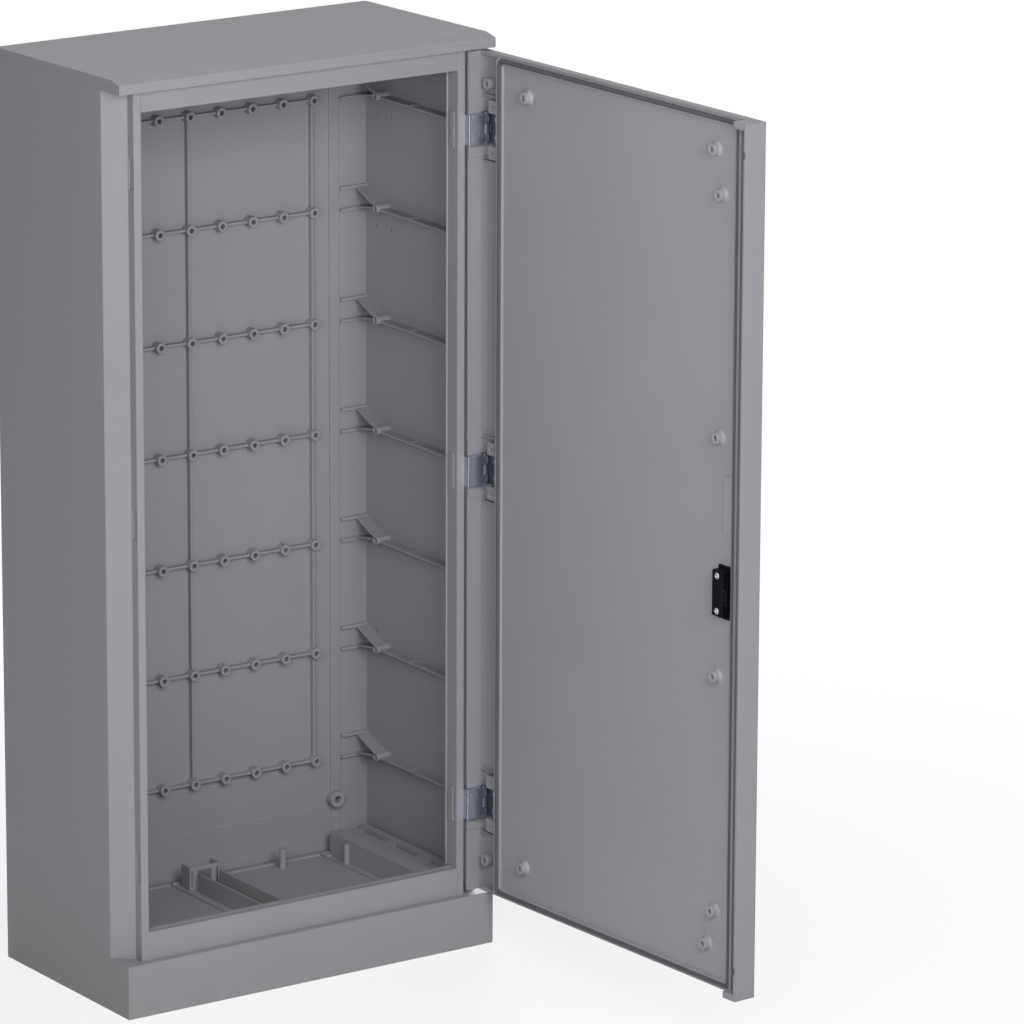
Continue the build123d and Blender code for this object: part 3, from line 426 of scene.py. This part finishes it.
def leverGrip():
    size = leverSizes
    shape = bmesh.new()
    x, level, reach, thick = size["x"], size["level"], size["reach"], size["thick"]
    profile = [(size["hub"] * out, size["hubLength"] * up) for out, up in size["hubDome"]]
    profile += [(size["hub"], size["hubChamfer"]), (size["hub"] * size["hubFoot"], 0), (0, 0)]
    hub = turned(shape, profile, size["hubSteps"])
    place = Matrix.Translation((x, size["hubRear"], level))
    bmesh.ops.transform(shape, matrix=place @ aim["-Y"], verts=hub)
    front = size["hubRear"] - size["hubLength"]
    middle = front + thick / 2
    arm = bmesh.ops.create_cube(shape, size=1.0)["verts"]
    bmesh.ops.scale(shape, vec=(reach, thick, size["width"]), verts=arm)
    bmesh.ops.translate(shape, vec=(x + reach / 2, middle, level), verts=arm)
    known = set(hub)
    long = [edge for edge in shape.edges if edge.verts[0] not in known
            and abs(edge.verts[0].co.x - edge.verts[1].co.x) > reach / 2]
    bmesh.ops.subdivide_edges(shape, edges=long, cuts=size["armCuts"], use_grid_fill=True)
    arm = [vert for vert in shape.verts if vert not in known]
    for vert in arm:  # narrower and a little bowed towards the tip
        along = (vert.co.x - x) / reach
        bow = size["bow"] * (1 - cos(along * pi)) / 2
        vert.co.z = level + (vert.co.z - level) * (1 - (1 - size["tipShare"]) * along)
        vert.co.y += bow * (1 if vert.co.y < middle else size["rearBow"])
    rims = [edge for edge in shape.edges if edge.verts[0] not in known
            and edge.calc_face_angle(0) > sharpTurn]
    rounded(shape, rims, size["round"], size["roundSteps"])
    makePiece("leverGrip", shape, "dark", "handle", "handle_lever", size["smoothAngle"])


doorSeal()
crankedLeaves()
makeScrews()
leverGrip()
print("detail pieces made")

stageSizes = {"floor": 6.0, "floorDark": 0.83, "floorLight": 0.86, "floorScale": 3.0, "floorRoughness": 0.9,
              "fadeFrom": 0.4, "fadeTo": 1.7, "shadowShare": 0.22, "ambient": 0.025}
lampSizes = {
    "front": {"place": (-0.6, -2.9, 1.9), "target": (0.0, 0.0, 0.62), "size": 1.5, "power": 62.0},
    "left": {"place": (-2.2, -2.4, 1.7), "target": (0.0, -0.2, 0.62), "size": 1.6, "power": 42.0},
    "back": {"place": (2.4, 2.6, 0.7), "target": (0.1, 0.0, 0.62), "size": 0.9, "power": 85.0},
    "top": {"place": (0.2, 0.0, 3.4), "target": (0.2, 0.0, 0.0), "size": 2.4, "power": 27.0},
}


def rayMask(tree):  # 1 for rays that look at the background, straight, mirrored or through glass
    camera, glossy, through = [Wire(tree).node("LightPath", {}, {}, out="Is " + kind + " Ray")
                               for kind in ("Camera", "Glossy", "Transmission")]
    return (camera + glossy + through).between(0.0, 1.0)


def grey(level):
    return (level, level, level, 1.0)


def makeFloor():
    mesh = bpy.data.meshes.new("studioFloor")
    plane = bmesh.new()
    bmesh.ops.create_grid(plane, x_segments=1, y_segments=1, size=stageSizes["floor"])
    plane.to_mesh(mesh)
    plane.free()
    floor = bpy.data.objects.new("studioFloor", mesh)
    scene.collection.objects.link(floor)
    material, shader, place = newMaterial("paleFloor")
    tint = place.noise(stageSizes["floorScale"])
    plug(shader, "Base Color", tint.blend(grey(stageSizes["floorDark"]), grey(stageSizes["floorLight"])))
    shader.inputs["Roughness"].default_value = stageSizes["floorRoughness"]
    tree = material.node_tree
    white = place.node("Emission", {}, {"Color": grey(1.0), "Strength": 1.0})
    away = place.node("VectorMath", {"operation": "LENGTH"}, {0: place}, out="Value")
    away = away.between(stageSizes["fadeFrom"], stageSizes["fadeTo"])
    share = away * stageSizes["shadowShare"] + (1 - stageSizes["shadowShare"])
    seen = rayMask(tree) * share  # white for the eye and for mirrors, an ordinary floor for other light
    both = place.node("MixShader", {}, {0: seen, 1: Wire(tree, shader.outputs[0]), 2: white})
    tree.links.new(both.socket, tree.nodes["Material Output"].inputs["Surface"])
    mesh.materials.append(material)


def makeLamps():
    for name, setup in lampSizes.items():
        lamp = bpy.data.lights.new(name + "Lamp", "AREA")
        lamp.energy = setup["power"]
        lamp.size = setup["size"]
        light = bpy.data.objects.new(name + "Lamp", lamp)
        light.location = setup["place"]
        towards = Vector(setup["target"]) - light.location
        light.rotation_euler = towards.to_track_quat("-Z", "Y").to_euler()
        scene.collection.objects.link(light)


def makeWorld():
    world = bpy.data.worlds.new("studioWorld")
    scene.world = world
    world.use_nodes = True
    tree = world.node_tree
    backdrop = tree.nodes["Background"]
    backdrop.inputs["Color"].default_value = grey(1.0)
    seen = rayMask(tree)
    strength = seen.node("MapRange", {"clamp": True},
                         {"Value": seen, "To Min": stageSizes["ambient"], "To Max": 1.0})
    plug(backdrop, "Strength", strength)


makeFloor()
makeLamps()
makeWorld()

lookFrom = {"place": (-4.90775, -7.77485, 3.11288), "ahead": (0.54668, 0.79559, -0.26109),
            "up": (0.14447, 0.21752, 0.96531), "lens": 246.09, "sensor": 36.0, "farEnd": 100.0}


def makeCamera():
    data = bpy.data.cameras.new("studioCamera")
    data.lens = lookFrom["lens"]
    data.sensor_width = lookFrom["sensor"]
    data.clip_end = lookFrom["farEnd"]
    camera = bpy.data.objects.new("studioCamera", data)
    ahead = Vector(lookFrom["ahead"]).normalized()
    right = ahead.cross(Vector(lookFrom["up"])).normalized()
    up = right.cross(ahead)
    turn = Matrix((right, up, -ahead)).transposed().to_4x4()
    camera.matrix_world = Matrix.Translation(lookFrom["place"]) @ turn
    scene.collection.objects.link(camera)
    scene.camera = camera


makeCamera()
scene.view_settings.view_transform = "Standard"
print("stage and camera set")
